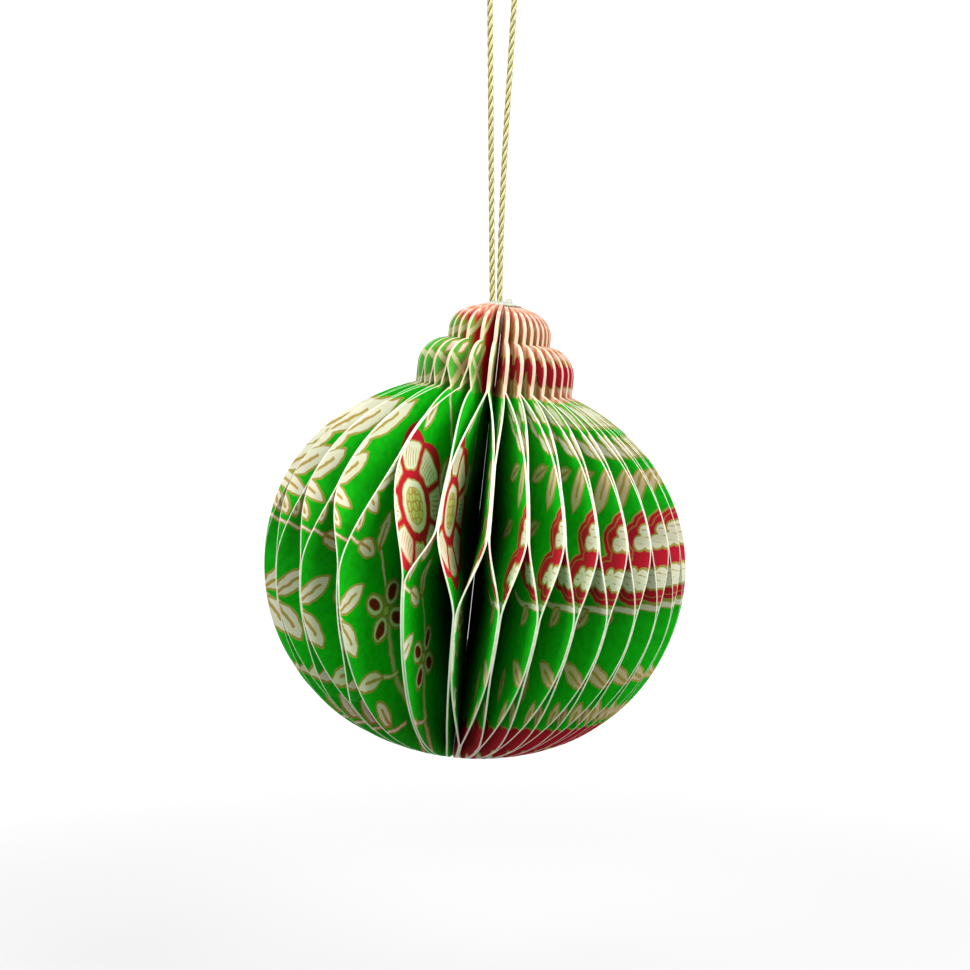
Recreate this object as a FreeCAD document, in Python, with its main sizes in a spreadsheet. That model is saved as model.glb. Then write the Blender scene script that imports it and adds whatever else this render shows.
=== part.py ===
"""Honeycomb paper bauble: a fan of die-cut paper leaves, glued in staggered bands, on a cord loop.

Millimetres. The frame is the bauble's as it hangs: +Z is up, -Y is the front, and the origin is
where the cord loop bears on its hook. The bauble's own axis leans by hang_tilt towards +X, and
heights on the bauble are along that axis from the ball's widest level. Azimuths turn about it, 0
at the front and growing to the right.

Neighbouring leaves meet in joints, numbered round the axis. Even joints are glued over an upper
band and a foot band, odd ones over the cap and a lower band, and between bands a leaf swings from
one neighbour to the other. A leaf stays straight along every level line, so its sheet is a ruled
loft outwards from its root, where neighbours meet, cut to the outline that all leaves share.
"""
import FreeCAD, Part
import Sketcher
import math
import os

Vector = FreeCAD.Vector
Rotation = FreeCAD.Rotation
Placement = FreeCAD.Placement

SIZES = (
    # the outline that every leaf is cut to
    ("ball_radius", 37.9, "axis to the widest point of the ball"),
    ("ball_rise", 34.0, "widest level to where the ball's top arc would meet the axis"),
    ("rise_ease", 2.1, "ball_rise less the radius of the outline's side above that level"),
    ("ball_drop", 34.8, "widest level to where the ball's foot arc would meet the axis"),
    ("drop_ease", 0.9, "ball_drop less the radius of the outline's side below that level"),
    ("cap_radius", 14.05, "wall of the cap's lower tier"),
    ("cap_wall", 3.2, "neck to where that wall turns in"),
    ("cap_shoulder", 5.3, "radius of the lower tier's shoulder"),
    ("knob_radius", 9.2, "wall of the cap's upper tier"),
    ("knob_wall", 1.4, "step to where that wall turns in"),
    ("knob_dome", 5.5, "top of that wall to where the crown's arc would meet the axis"),
    ("dome_ease", 1.1, "knob_dome less the radius of the knob's shoulder"),
    ("hollow_radius", 2.2, "round the axis, that every leaf stays clear of"),
    # the paper and how it is spread
    ("leaf_count", 56, "leaves, an even number"),
    ("paper", 0.3, "thickness of a leaf"),
    ("glue_film", 0.02, "glue line between two leaves"),
    ("root_room", 0.08, "that a leaf's inner edge stops short of where it would fill its wedge"),
    ("seam_azimuth", 2.1, "azimuth of joint 0, left of which the fan was opened by hand"),
    ("close_leaves", 18, "leaves of the close fan, to the right of joint 0"),
    ("close_wedge", 4.93, "degrees of a leaf in the close fan"),
    ("glue_wander", 0.35, "how far the hand-laid glue bands stray in height"),
    ("cap_turn", 2.5, "degrees, at most, that joints turn away from joint 0 in the cap"),
    ("turn_crest", 16.0, "degrees from joint 0 to where they turn most"),
    ("turn_reach", 70.0, "degrees from joint 0 to where that has died away"),
    ("cap_level", 34.0, "height above which they turn so"),
    ("neck_level", 29.0, "height where they are back at their azimuth"),
    ("right_turn", 1.1, "degrees that joints at the right turn away from the front halfway up"),
    ("right_level", 10.0, "height where they turn so"),
    ("true_level", -8.0, "height where every joint keeps to its azimuth"),
    ("foot_turn", 5.5, "degrees that joints at the sides turn towards the front at the foot"),
    ("foot_level", -30.0, "height below which they turn so"),
    # heights of the glue bands in the close fan
    ("close_cap_end", 31.2, "end of the cap's band, at the neck"),
    ("close_upper_top", 19.5, "top of the upper band"),
    ("close_upper_end", 9.0, "end of the upper band"),
    ("close_lower_top", -4.8, "top of the lower band"),
    ("close_lower_end", -13.0, "end of the lower band"),
    ("close_foot_top", -29.0, "top of the foot band"),
    ("close_upper_shrink", 0.55, "that the upper band's top falls from joint to joint"),
    ("close_lower_shrink", 0.5, "that the lower band's end rises from joint to joint"),
    ("shrink_joints", 9, "joints over which they do"),
    # heights of the glue bands in the open fan
    ("open_cap_end", 35.0, "end of the cap's band"),
    ("open_upper_top", 26.5, "top of the upper band"),
    ("open_upper_end", 14.2, "end of the upper band"),
    ("open_lower_top", -0.6, "top of the lower band"),
    ("open_lower_end", -8.6, "end of the lower band"),
    ("open_foot_top", -23.6, "top of the foot band"),
    # the widest cells, where bands were pulled out of line or let go
    ("pulled_upper_top", 26.5, "top of the upper band"),
    ("pulled_upper_end", 20.8, "end of the upper band"),
    ("slack_lower_end", -12.0, "end of the lower band"),
    ("loose_lower_end", -28.0, "where a leaf with no glue at its foot begins to stray"),
    ("loose_foot_top", -37.5, "past the outline's foot, where such a leaf is heading"),
    # how it hangs
    ("hang_tilt", 6.2, "degrees that the axis leans to the right"),
    ("crown_down", 61.7, "hook down to the knob's crown"),
    ("crown_across", -0.1, "hook across to the knob's crown"),
    ("cord_diameter", 1.1, "twisted cord"),
    ("cord_clearance", 0.03, "round the cord in the glue"),
    # the dab of glue: a plug in the top of the hollow, and a cap on the leaves' tips
    ("dab_depth", 5.6, "knob's crown down to the plug's end"),
    ("dab_room", 0.05, "between the plug and the hollow"),
    ("dab_radius", 3.3, "rim of the cap"),
    ("dab_brim", 0.12, "thickness of the cap at its rim"),
    ("dab_crown", 0.45, "knob's crown up to the top of the cap"),
    ("bead_radius", 0.75, "bead of glue that stands beside the cord"),
    ("bead_across", 0.95, "axis to the bead's centre"),
    ("bead_rise", 0.2, "knob's crown up to the bead's centre"),
)

# Degrees of the leaves left of joint 0, in order leftwards, as the fan was opened by hand.
OPENED_WEDGES = (6.0, 6.9, 6.6, 10.1, 8.6, 7.8, 6.3, 6.9, 6.7)

# A leaf's way from one joint to the other: poles as shares of (the swing, the height it takes).
PEEL = ((0, 0), (0.5, 0.1), (1, 0.33), (1, 1))  # sharp off the cap's band, smooth on to the next
LEFT_PEEL = ((0, 0), (0.35, 0.2), (0.8, 0.5), (1, 1))
OPEN_PEEL = ((0, 0), (0.2, 0.2), (0.85, 0.45), (1, 1))
SWING = ((0, 0), (0, 0.27), (1, 0.73), (1, 1))
DROP = ((0, 0), (0, 0.33), (0.45, 0.75), (1, 1))  # smooth off the lower band, sharp at the foot

# The cord's route from end to end as it hangs, (across, up) from the hook.
CORD_POINTS = (
    (-1.95, -64.6),
    (-2.12, -48.0),
    (-2.43, 0.55),
    (2.43, 0.55),
    (-0.70, -48.6),
    (-0.72, -64.6),
)
ARC_SHARE = 0.45  # of the shorter run, up to where an arc begins

SHEET_MARGIN = 0.3  # that an uncut sheet stands past the outline at the rim
SHEET_SPARE = 3.0  # that it stands past the outline at the top and the foot


def make_sizes(doc):
    """The driving dimensions, each with its alias."""
    sheet = doc.addObject("Spreadsheet::Sheet", "sizes")
    for row, (alias, value, what) in enumerate(SIZES, start=1):
        sheet.set("A%d" % row, what)
        sheet.set("B%d" % row, str(value))
        sheet.setAlias("B%d" % row, alias)
    doc.recompute()
    return sheet


# The outline that the leaves are cut to


def oval(half_width, height, ease):
    """A quarter oval of two tangent arcs, the nearer of radius height - ease: the far arc's
    radius, and (across, up) where the arcs meet."""
    near = height - ease
    side = half_width - near
    far = (side**2 + height**2 - near**2) / (2 * ease)
    share = near / (far - near)
    return far, side * (1 + share), (far - height) * share


def arc_about(centre, radius, start, end):
    """The arc from start to end, both about centre, the short way round."""
    middle = (start + end) * 0.5 - centre
    return Part.Arc(start, centre + middle * (radius / middle.Length), end)


def outline_marks(size):
    """The outline's corner points and arc centres, (across, up), from the driving dimensions."""
    top_radius, top_x, top_up = oval(size("ball_radius"), size("ball_rise"), size("rise_ease"))
    foot_radius, foot_x, foot_up = oval(size("ball_radius"), size("ball_drop"), size("drop_ease"))
    crown_radius, crown_x, crown_up = oval(
        size("knob_radius"), size("knob_dome"), size("dome_ease")
    )

    def on_arc(centre, radius, across, sign=1):
        return Vector(across, centre.y + sign * math.sqrt(radius**2 - (across - centre.x) ** 2), 0)

    mark = {
        "foot_centre": Vector(0, foot_radius - size("ball_drop"), 0),
        "lower_centre": Vector(size("ball_radius") - size("ball_drop") + size("drop_ease"), 0, 0),
        "upper_centre": Vector(size("ball_radius") - size("ball_rise") + size("rise_ease"), 0, 0),
        "top_centre": Vector(0, size("ball_rise") - top_radius, 0),
        "foot_joint": Vector(foot_x, -foot_up, 0),
        "widest": Vector(size("ball_radius"), 0, 0),
        "top_joint": Vector(top_x, top_up, 0),
    }
    mark["spine_foot"] = on_arc(mark["foot_centre"], foot_radius, size("hollow_radius"), -1)
    mark["neck"] = on_arc(mark["top_centre"], top_radius, size("cap_radius"))
    mark["cap_turn"] = mark["neck"] + Vector(0, size("cap_wall"), 0)
    mark["cap_centre"] = mark["cap_turn"] - Vector(size("cap_shoulder"), 0, 0)
    mark["step"] = on_arc(mark["cap_centre"], size("cap_shoulder"), size("knob_radius"))
    mark["knob_turn"] = mark["step"] + Vector(0, size("knob_wall"), 0)
    shoulder = size("knob_dome") - size("dome_ease")
    mark["knob_centre"] = mark["knob_turn"] - Vector(shoulder, 0, 0)
    mark["crown_joint"] = Vector(crown_x, mark["knob_turn"].y + crown_up, 0)
    mark["crown"] = Vector(0, mark["knob_turn"].y + size("knob_dome"), 0)
    mark["crown_centre"] = mark["crown"] - Vector(0, crown_radius, 0)
    mark["spine_top"] = on_arc(mark["crown_centre"], crown_radius, size("hollow_radius"))
    return mark


def outline_edges(mark):
    """The outline from the foot of the spine round by the rim, as named edges."""

    def arc(centre, start, end):
        radius = mark[start].distanceToPoint(mark[centre])
        return arc_about(mark[centre], radius, mark[start], mark[end])

    def line(start, end):
        return Part.LineSegment(mark[start], mark[end])

    return {
        "foot": arc("foot_centre", "spine_foot", "foot_joint"),
        "lower_side": arc("lower_centre", "foot_joint", "widest"),
        "upper_side": arc("upper_centre", "widest", "top_joint"),
        "top": arc("top_centre", "top_joint", "neck"),
        "cap_wall": line("neck", "cap_turn"),
        "cap_shoulder": arc("cap_centre", "cap_turn", "step"),
        "knob_wall": line("step", "knob_turn"),
        "knob_shoulder": arc("knob_centre", "knob_turn", "crown_joint"),
        "crown": arc("crown_centre", "crown_joint", "spine_top"),
        "spine": line("spine_top", "spine_foot"),
    }


def far_radius_expression(half_width, height, ease):
    """oval()'s far radius, for a constraint."""
    terms = dict(w="sizes." + half_width, h="sizes." + height, e="sizes." + ease)
    return "((%(w)s - %(h)s + %(e)s)^2 + %(h)s^2 - (%(h)s - %(e)s)^2) / (2 * %(e)s)" % terms


def draw_outline(sketch, size):
    """The outline in the sketch, with every size of it bound to the sheet."""
    start, end, centre = 1, 2, 3  # the sketcher's numbers for an edge's points
    across_axis, up_axis = -1, -2
    curves = outline_edges(outline_marks(size))
    edge = {name: sketch.addGeometry(curve, False) for name, curve in curves.items()}

    def constrain(*what):
        return sketch.addConstraint(Sketcher.Constraint(*what))

    def bind(name, expression, *what):
        sketch.renameConstraint(constrain(*what), name)
        sketch.setExpression("Constraints." + name, expression)

    smooth = ("foot", "upper_side", "cap_wall", "knob_wall", "knob_shoulder")
    names = list(edge)
    for name, following in zip(names, names[1:] + names[:1]):
        kind = "Tangent" if name in smooth else "Coincident"
        constrain(kind, edge[name], end, edge[following], start)
    for name in ("foot", "top", "crown"):
        constrain("PointOnObject", edge[name], centre, up_axis)
    for name, point in (("lower_side", centre), ("upper_side", centre), ("lower_side", end)):
        constrain("PointOnObject", edge[name], point, across_axis)
    for name in ("cap_wall", "knob_wall", "spine"):
        constrain("Vertical", edge[name])

    for name, expression in (
        ("lower_side", "sizes.ball_drop - sizes.drop_ease"),
        ("upper_side", "sizes.ball_rise - sizes.rise_ease"),
        ("cap_shoulder", "sizes.cap_shoulder"),
        ("knob_shoulder", "sizes.knob_dome - sizes.dome_ease"),
        ("foot", far_radius_expression("ball_radius", "ball_drop", "drop_ease")),
        ("top", far_radius_expression("ball_radius", "ball_rise", "rise_ease")),
        ("crown", far_radius_expression("knob_radius", "knob_dome", "dome_ease")),
    ):
        radius = sketch.Geometry[edge[name]].Radius
        bind(name + "_radius", expression, "Radius", edge[name], radius)
    for name, point, alias in (
        ("lower_side", end, "ball_radius"),
        ("cap_wall", start, "cap_radius"),
        ("knob_wall", start, "knob_radius"),
        ("spine", start, "hollow_radius"),
    ):
        bind(alias, "sizes." + alias, "DistanceX", edge[name], point, size(alias))
    for name in ("cap_wall", "knob_wall"):
        bind(name, "sizes." + name, "DistanceY", edge[name], start, edge[name], end, size(name))


def origin_plane(body, role):
    return next(feature for feature in body.Origin.OriginFeatures if feature.Role == role)


def make_blank(doc, size):
    """The outline as a thick solid, which cuts every sheet: radius along X, height along Z."""
    body = doc.addObject("PartDesign::Body", "leaf_blank")
    sketch = body.newObject("Sketcher::SketchObject", "outline")
    sketch.AttachmentSupport = [(origin_plane(body, "XZ_Plane"), "")]
    sketch.MapMode = "FlatFace"
    draw_outline(sketch, size)
    doc.recompute()
    pad = body.newObject("PartDesign::Pad", "thick_blank")
    pad.Profile = sketch
    pad.setExpression("Length", "sizes.ball_radius")
    pad.Midplane = True
    doc.recompute()
    return body


# The fan of leaves


def joint_azimuths(size):
    """Azimuth of every joint, from joint 0 round to the right and back to it."""
    count = int(size("leaf_count"))
    close = [size("close_wedge")] * int(size("close_leaves"))
    opened = list(reversed(OPENED_WEDGES))
    rest = count - len(close) - len(opened)
    back = [(360 - sum(close) - sum(opened)) / rest] * rest
    azimuths = [size("seam_azimuth")]
    for wedge in close + back + opened:
        azimuths.append(azimuths[-1] + wedge)
    return azimuths


def joint_bands(size, joint):
    """Heights of a joint's glue bands."""
    left = int(size("leaf_count")) - joint  # joints from here round to joint 0
    fan = "close" if joint <= size("close_leaves") or left <= 2 else "open"
    bands = {
        name: size("%s_%s" % (fan, name))
        for name in ("cap_end", "upper_top", "upper_end", "lower_top", "lower_end", "foot_top")
    }
    if joint <= size("close_leaves"):
        along = min(joint, size("shrink_joints"))
        bands["upper_top"] -= size("close_upper_shrink") * along
        bands["lower_end"] += size("close_lower_shrink") * along
    if left == 4:
        bands.update(upper_top=size("pulled_upper_top"), upper_end=size("pulled_upper_end"))
    if left == 5:
        bands["lower_end"] = size("slack_lower_end")
    if left in (2, 4):
        bands["foot_top"] = size("loose_foot_top")
    for order, name in enumerate(bands):
        bands[name] += size("glue_wander") * math.sin(2.4 * joint + 1.7 * order)
    return bands


def joint_turn(size, azimuth, height):
    """How far a joint strays from its azimuth at a height, in radians."""
    past_seam = (azimuth - size("seam_azimuth") + 180) % 360 - 180
    crest, reach, away = size("turn_crest"), size("turn_reach"), abs(past_seam)
    cap_turn = size("cap_turn") * max(0, min(away / crest, (reach - away) / (reach - crest)))
    sideways = math.sin(math.radians(azimuth))
    ladder = (
        (size("cap_level"), math.copysign(cap_turn, past_seam)),
        (size("neck_level"), 0),
        (size("right_level"), size("right_turn") * math.sqrt(max(0, sideways))),
        (size("true_level"), 0),
        (size("foot_level"), -size("foot_turn") * sideways),
    )
    height = min(max(height, ladder[-1][0]), ladder[0][0])
    for (top, turn), (foot, next_turn) in zip(ladder, ladder[1:]):
        if height >= foot:
            break
    return math.radians(turn + (next_turn - turn) * (top - height) / (top - foot))


def leaf_stations(size, number):
    """A leaf's way down as (height, side) from band to band, with the bends between them."""
    count = int(size("leaf_count"))
    even_side = 1 if number % 2 == 0 else -1
    joints = {-1: number - 1, 1: number % count}
    even, odd = joint_bands(size, joints[even_side]), joint_bands(size, joints[-even_side])
    peel = LEFT_PEEL if even_side == -1 else PEEL
    if joints[-even_side] > size("close_leaves") and count - joints[-even_side] > 1:
        peel = OPEN_PEEL
    lower_end = odd["lower_end"]
    if count - joints[even_side] in (2, 4):
        lower_end = size("loose_lower_end")
    return (
        (odd["cap_end"], -even_side, peel),
        (even["upper_top"], even_side, None),
        (even["upper_end"], even_side, SWING),
        (odd["lower_top"], -even_side, None),
        (lower_end, -even_side, DROP),
        (even["foot_top"], even_side, None),
    )


def face_edges(stations, top, foot, place):
    """The edges of one face's section, top to foot. place(side, height) gives a point."""
    here = place(stations[0][1], top)
    edges = []
    for index, (height, side, bend) in enumerate(stations):
        point = place(side, height)
        if here.distanceToPoint(point) > 1e-7:
            edges.append(Part.LineSegment(here, point).toShape())
        here = point
        if bend:
            height_after, side_after = stations[index + 1][:2]
            poles = []
            for swing, fall in bend:
                at_start = place(side, height + (height_after - height) * fall)
                at_end = place(side_after, height + (height_after - height) * fall)
                poles.append(at_start + (at_end - at_start) * swing)
            curve = Part.BezierCurve()
            curve.setPoles(poles)
            edges.append(curve.toShape())
            here = poles[-1]
    edges.append(Part.LineSegment(here, place(stations[-1][1], foot)).toShape())
    return edges


def section_wire(size, stations, radius, near, far, top, foot):
    """A leaf's section at a distance from the axis, between its joints' azimuths near and far:
    its two faces, closed at top and foot."""
    half_wedge = math.radians((far - near) / 2)
    inset = (size("paper") + size("glue_film")) / 2

    def face(offset):
        def place(side, height):
            turn = side * half_wedge + joint_turn(size, far if side > 0 else near, height)
            across = radius * math.tan(turn) - side * inset / math.cos(turn)
            return Vector(radius, across + offset, height)

        return face_edges(stations, top, foot, place)

    right, left = face(size("paper") / 2), face(-size("paper") / 2)
    lid = Part.LineSegment(right[0].Vertexes[0].Point, left[0].Vertexes[0].Point)
    sole = Part.LineSegment(left[-1].Vertexes[-1].Point, right[-1].Vertexes[-1].Point)
    return Part.Wire(Part.__sortEdges__(right + [sole.toShape()] + left + [lid.toShape()]))


def root_radius(size, near, far):
    """Where a leaf begins: just outside the place where it would fill its wedge, at the height
    where the wedge is narrowest."""
    wedges = [
        math.radians(far - near) + joint_turn(size, far, level) - joint_turn(size, near, level)
        for level in map(size, ("cap_level", "neck_level", "right_level", "foot_level"))
    ]
    fill = (size("paper") + size("glue_film")) / (2 * math.sin(min(wedges) / 2))
    return fill + size("root_room")


def hanging_place(size, mark):
    """Placement of the bauble's own frame: axis along Z, origin on it at the widest level."""
    lean = Rotation(Vector(0, 1, 0), size("hang_tilt"))
    crown = Vector(size("crown_across"), 0, -size("crown_down"))
    return Placement(crown - lean.multVec(Vector(0, 0, mark["crown"].y)), lean)


def make_leaves(doc, size, blank):
    """Every leaf: a ruled loft between its sections at the root and past the rim, cut to the
    outline and turned to its azimuth."""
    mark = outline_marks(size)
    top, foot = mark["spine_top"].y + SHEET_SPARE, mark["spine_foot"].y - SHEET_SPARE
    hung = hanging_place(size, mark)
    azimuths = joint_azimuths(size)
    leaves = []
    for number in range(1, int(size("leaf_count")) + 1):
        near, far = azimuths[number - 1], azimuths[number]
        stations = leaf_stations(size, number)
        sections = []
        for name, radius in (
            ("root", root_radius(size, near, far)),
            ("rim", size("ball_radius") + SHEET_MARGIN),
        ):
            section = doc.addObject("Part::Feature", "leaf_%02d_%s" % (number, name))
            section.Shape = section_wire(size, stations, radius, near, far, top, foot)
            sections.append(section)
        sheet = doc.addObject("Part::Loft", "leaf_%02d_sheet" % number)
        sheet.Sections, sheet.Solid, sheet.Ruled = sections, True, True
        leaf = doc.addObject("Part::Common", "leaf_%02d" % number)
        leaf.Base, leaf.Tool = sheet, blank
        turn = Rotation(Vector(0, 0, 1), (near + far) / 2 - 90)
        leaf.Placement = hung.multiply(Placement(Vector(), turn))
        leaf.Label = leaf.Name
        leaves.append(leaf)
    return leaves


# The cord and the glue that holds it


def corner_arcs(points):
    """For each corner of a route, its arc's radius and how far from the corner it begins."""
    arcs = []
    for before, corner, after in zip(points, points[1:], points[2:]):
        into, out = corner - before, after - corner
        trim = ARC_SHARE * min(into.Length, out.Length)
        arcs.append((trim / math.tan(into.getAngle(out) / 2), trim))
    return arcs


def route_edges(points):
    """Straight runs joined by tangent arcs along a route."""
    edges = []
    here = points[0]
    for before, corner, after, (radius, trim) in zip(
        points, points[1:], points[2:], corner_arcs(points)
    ):
        back = (before - corner).normalize()
        onward = (after - corner).normalize()
        start, end = corner + back * trim, corner + onward * trim
        inward = (back + onward).normalize()
        apex = corner + inward * (math.hypot(radius, trim) - radius)
        edges.append(Part.LineSegment(here, start).toShape())
        edges.append(Part.Arc(start, apex, end).toShape())
        here = end
    edges.append(Part.LineSegment(here, points[-1]).toShape())
    return edges


def cord_route():
    return [Vector(across, 0, up) for across, up in CORD_POINTS]


def make_cord(doc, size):
    """The loop of cord: a round section swept along its route."""
    points = cord_route()
    route = doc.addObject("Part::Feature", "cord_route")
    route.Shape = Part.Wire(route_edges(points))
    section = doc.addObject("Part::Circle", "cord_section")
    section.setExpression("Radius", "sizes.cord_diameter / 2")
    along = Rotation(Vector(0, 0, 1), points[1] - points[0])
    section.Placement = Placement(points[0], along)
    cord = doc.addObject("Part::Sweep", "hanging_cord")
    cord.Sections = [section]
    cord.Spine = (route, ["Edge%d" % number for number in range(1, len(route.Shape.Edges) + 1)])
    cord.Solid = True
    return cord


def draw_dab(sketch, size):
    """Half the glue's section, from the knob's crown: the plug, the cap's underside along the
    leaves' tips, its rim and its domed top."""
    start, end, centre = 1, 2, 3  # the sketcher's numbers for an edge's points
    up_axis = -2
    mark = outline_marks(size)
    bed = mark["crown"].y - mark["crown_centre"].y + size("glue_film")
    plug, rim = size("hollow_radius") - size("dab_room"), size("dab_radius")
    bed_centre = Vector(0, size("glue_film") - bed, 0)
    corner = bed_centre + Vector(plug, math.sqrt(bed**2 - plug**2), 0)
    edge = bed_centre + Vector(rim, math.sqrt(bed**2 - rim**2), 0)
    brim, top = edge + Vector(0, size("dab_brim"), 0), Vector(0, size("dab_crown"), 0)
    rise = top.y - brim.y
    dome = (rim**2 + rise**2) / (2 * rise)
    foot = Vector(0, -size("dab_depth"), 0)
    side = Vector(plug, foot.y, 0)
    curves = (
        Part.LineSegment(foot, side),
        Part.LineSegment(side, corner),
        arc_about(bed_centre, bed, edge, corner),
        Part.LineSegment(edge, brim),
        arc_about(top - Vector(0, dome, 0), dome, brim, top),
        Part.LineSegment(top, foot),
    )
    under, wall, seat, lip, crown, core = (sketch.addGeometry(curve, False) for curve in curves)

    def constrain(*what):
        return sketch.addConstraint(Sketcher.Constraint(*what))

    def bind(name, expression, *what):
        sketch.renameConstraint(constrain(*what), name)
        sketch.setExpression("Constraints." + name, expression)

    for one, point, other, far_point in (
        (under, end, wall, start),
        (wall, end, seat, end),
        (seat, start, lip, start),
        (lip, end, crown, start),
        (crown, end, core, start),
        (core, end, under, start),
    ):
        constrain("Coincident", one, point, other, far_point)
    constrain("Horizontal", under)
    constrain("Vertical", wall)
    constrain("Vertical", lip)
    for line, point in ((seat, centre), (crown, centre), (crown, end), (under, start)):
        constrain("PointOnObject", line, point, up_axis)
    crown_radius = far_radius_expression("knob_radius", "knob_dome", "dome_ease")
    bind("bed", crown_radius + " + sizes.glue_film", "Radius", seat, bed)
    bind("bed_depth", crown_radius, "DistanceY", seat, centre, -1, start, -bed_centre.y)
    bind("plug", "sizes.hollow_radius - sizes.dab_room", "DistanceX", wall, start, plug)
    bind("rim", "sizes.dab_radius", "DistanceX", lip, start, rim)
    bind("brim", "sizes.dab_brim", "DistanceY", lip, start, lip, end, size("dab_brim"))
    bind("top", "sizes.dab_crown", "DistanceY", crown, end, size("dab_crown"))
    bind("depth", "sizes.dab_depth", "DistanceY", under, start, -1, start, size("dab_depth"))


def make_dab(doc, size):
    """The glue: a capped plug in the top of the hollow and a bead beside the cord, set round
    the two ends of the cord."""
    mark = outline_marks(size)
    hung = hanging_place(size, mark)
    body = doc.addObject("PartDesign::Body", "dab_plug")
    sketch = body.newObject("Sketcher::SketchObject", "dab_section")
    sketch.AttachmentSupport = [(origin_plane(body, "XZ_Plane"), "")]
    sketch.MapMode = "FlatFace"
    draw_dab(sketch, size)
    doc.recompute()
    plug = body.newObject("PartDesign::Revolution", "dab_revolved")
    plug.Profile = sketch
    plug.ReferenceAxis = (sketch, ["V_Axis"])
    body.Placement = hung.multiply(Placement(Vector(0, 0, mark["crown"].y), Rotation()))

    bead = doc.addObject("Part::Sphere", "dab_bead")
    bead.setExpression("Radius", "sizes.bead_radius")
    beside = Vector(size("bead_across"), 0, mark["crown"].y + size("bead_rise"))
    bead.Placement = Placement(hung.multVec(beside), Rotation())
    glue = doc.addObject("Part::Fuse", "dab_whole")
    glue.Base, glue.Tool = body, bead

    points = cord_route()
    for name, tip, along in (
        ("first", points[0], points[1] - points[0]),
        ("last", points[-1], points[-2] - points[-1]),
    ):
        room = doc.addObject("Part::Cylinder", name + "_end_room")
        room.setExpression("Radius", "sizes.cord_diameter / 2 + sizes.cord_clearance")
        room.setExpression("Height", "2 * sizes.dab_depth")
        room.Placement = Placement(tip, Rotation(Vector(0, 0, 1), along))
        cut = doc.addObject("Part::Cut", "dab_round_%s_end" % name)
        cut.Base, cut.Tool = glue, room
        glue = cut
    glue.Label = "glue_dab"
    return glue


# Checks and files


def check(doc):
    """Stop unless every object of the document is sound."""
    for thing in doc.Objects:
        if any(word in thing.State for word in ("Invalid", "Error")):
            raise RuntimeError("%s: %s" % (thing.Name, thing.State))
        shape = getattr(thing, "Shape", None)
        if shape is not None and (shape.isNull() or not shape.isValid()):
            raise RuntimeError("%s has no valid shape" % thing.Name)


def check_solid(part):
    if len(part.Shape.Solids) != 1 or part.Shape.Volume <= 0:
        raise RuntimeError("%s isn't one solid" % part.Label)


def report_cord(cord, size):
    """Print the arcs' radii and compare the cord's volume with its section times its length."""
    points = cord_route()
    print("cord radii", [round(radius, 1) for radius, _ in corner_arcs(points)])
    length = sum(edge.Length for edge in route_edges(points))
    volume = math.pi * size("cord_diameter") ** 2 / 4 * length
    print("cord length %.1f, volume %.2f for %.2f" % (length, cord.Shape.Volume, volume))


def main():
    doc = FreeCAD.newDocument("honeycomb_bauble")
    size = make_sizes(doc).get
    blank = make_blank(doc, size)
    cord = make_cord(doc, size)
    parts = make_leaves(doc, size, blank) + [make_dab(doc, size), cord]
    doc.recompute()
    check(doc)
    for part in parts:
        check_solid(part)
    report_cord(cord, size)
    os.makedirs("parts", exist_ok=True)
    for part in parts:
        part.Shape.exportStep("parts/%s.step" % part.Label)


if __name__ == "__main__":
    main()
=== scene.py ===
"""Looks of a honeycomb paper bauble: its camera, cord, printed leaves, glue and studio.

Metres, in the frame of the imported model: +Z up, the front faces -Y, and the origin is where the
cord's loop bears on its hook. The bauble's own axis leans towards +X, so the print is laid out
on each leaf by its radius from that axis and its height along it.
"""

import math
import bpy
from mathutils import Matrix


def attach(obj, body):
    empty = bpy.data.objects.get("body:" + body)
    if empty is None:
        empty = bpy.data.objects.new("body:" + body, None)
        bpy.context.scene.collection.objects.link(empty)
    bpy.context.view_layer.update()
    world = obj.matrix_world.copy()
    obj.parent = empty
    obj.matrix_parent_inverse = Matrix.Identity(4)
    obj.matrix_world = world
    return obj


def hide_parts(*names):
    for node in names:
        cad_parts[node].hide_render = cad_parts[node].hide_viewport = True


bl_info = {
    "name": "Honeycomb Paper Bauble",
    "version": (1, 0, 0),
    "blender": (4, 5, 0),
    "location": "View3D > Sidebar > Bauble",
    "description": "Finishes a fanned paper bauble: printed leaves, twisted cord, glue and studio",
    "category": "Object",
}

import bmesh
import bpy
from bpy.props import FloatProperty, FloatVectorProperty, IntProperty, PointerProperty
from mathutils import Euler, Vector

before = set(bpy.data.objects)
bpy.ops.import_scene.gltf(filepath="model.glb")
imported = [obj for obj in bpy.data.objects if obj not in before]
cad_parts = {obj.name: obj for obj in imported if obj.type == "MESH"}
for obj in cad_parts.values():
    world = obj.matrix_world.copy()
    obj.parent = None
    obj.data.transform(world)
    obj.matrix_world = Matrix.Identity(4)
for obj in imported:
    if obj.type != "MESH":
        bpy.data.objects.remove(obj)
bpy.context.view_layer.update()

MM = 0.001
WHITE = (1, 1, 1, 1)
LEAVES = sorted(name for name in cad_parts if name.startswith("leaf_"))

# The cord's middle line in the plane of its loop, as (across, up) in mm, from the end in the
# glue at the left, over the hook and down to the other end.
CORD_ROUTE = (
    (-1.95, -64.6),
    (-2.12, -48.0),
    (-2.46, -6.0),
    (-2.43, 0.55),
    (2.43, 0.55),
    (2.03, -6.0),
    (-0.70, -48.6),
    (-0.72, -64.6),
)
ROUTE_BENDS = 24  # steps from one point of the route to the next
STEPS_IN_A_LAY = 20
STRAND_SIDES = 12
LOOP_FACING = Vector((0, 1, 0))  # square to the loop's plane
FIBRE_LEAN = math.radians(35)  # from the upright
FIBRES_IN_A_MM = (7.0, 7.0, 1.6)  # across them both ways, and along
GROOVE_SHADE_REACH = (0.92, 0.70)  # share of the cord's radius where the painted shade of a groove starts and is full

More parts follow.
